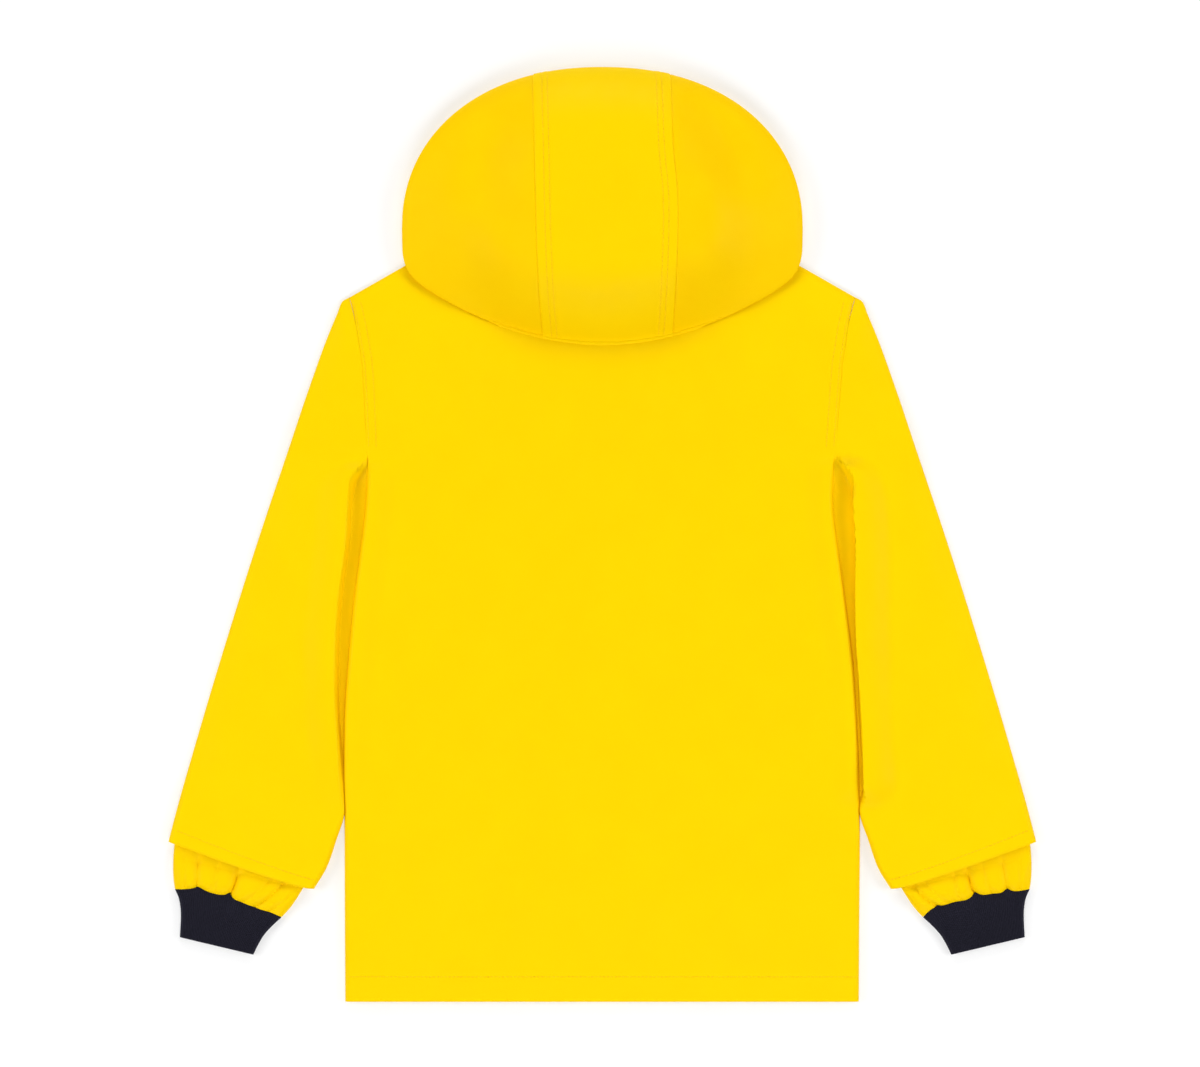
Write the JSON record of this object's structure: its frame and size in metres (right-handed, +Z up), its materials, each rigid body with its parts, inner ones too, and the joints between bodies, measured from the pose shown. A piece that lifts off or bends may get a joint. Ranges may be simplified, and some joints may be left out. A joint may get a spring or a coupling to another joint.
{
  "type": "kids raincoat",
  "caption": "Child's hooded raincoat laid flat face down, with set-in sleeves, gathered inner cuffs with knitted ribs and a press-stud front.",
  "frame": {"origin": "on the surface it lies on, below the middle of its width and of its length from hem to crown", "axes": "+Z up from the surface through the back, +Y from the hem towards the hood, +X towards the wearer's right"},
  "size_m": [0.6746, 0.726, 0.043],
  "materials": {
    "coated_cloth": "smooth yellow polyurethane-coated cloth with a soft sheen",
    "cuff_cloth": "thin smooth yellow coated cloth, gathered",
    "rib_knit": "matt navy fine rib knit",
    "press_stud": "plain yellow press stud caps"
  },
  "bodies": {
    "root": {"back": "coated_cloth", "front_left": "coated_cloth", "front_right": "coated_cloth", "sleeve_left": "coated_cloth", "sleeve_right": "coated_cloth", "hood_centre": "coated_cloth", "hood_left": "coated_cloth", "hood_right": "coated_cloth", "storm_cuff_left": "cuff_cloth", "storm_cuff_right": "cuff_cloth", "rib_cuff_left": "rib_knit", "rib_cuff_right": "rib_knit", "stud_1": "press_stud", "stud_2": "press_stud", "stud_3": "press_stud", "stud_4": "press_stud", "stud_5": "press_stud"}
  },
  "joints": []
}
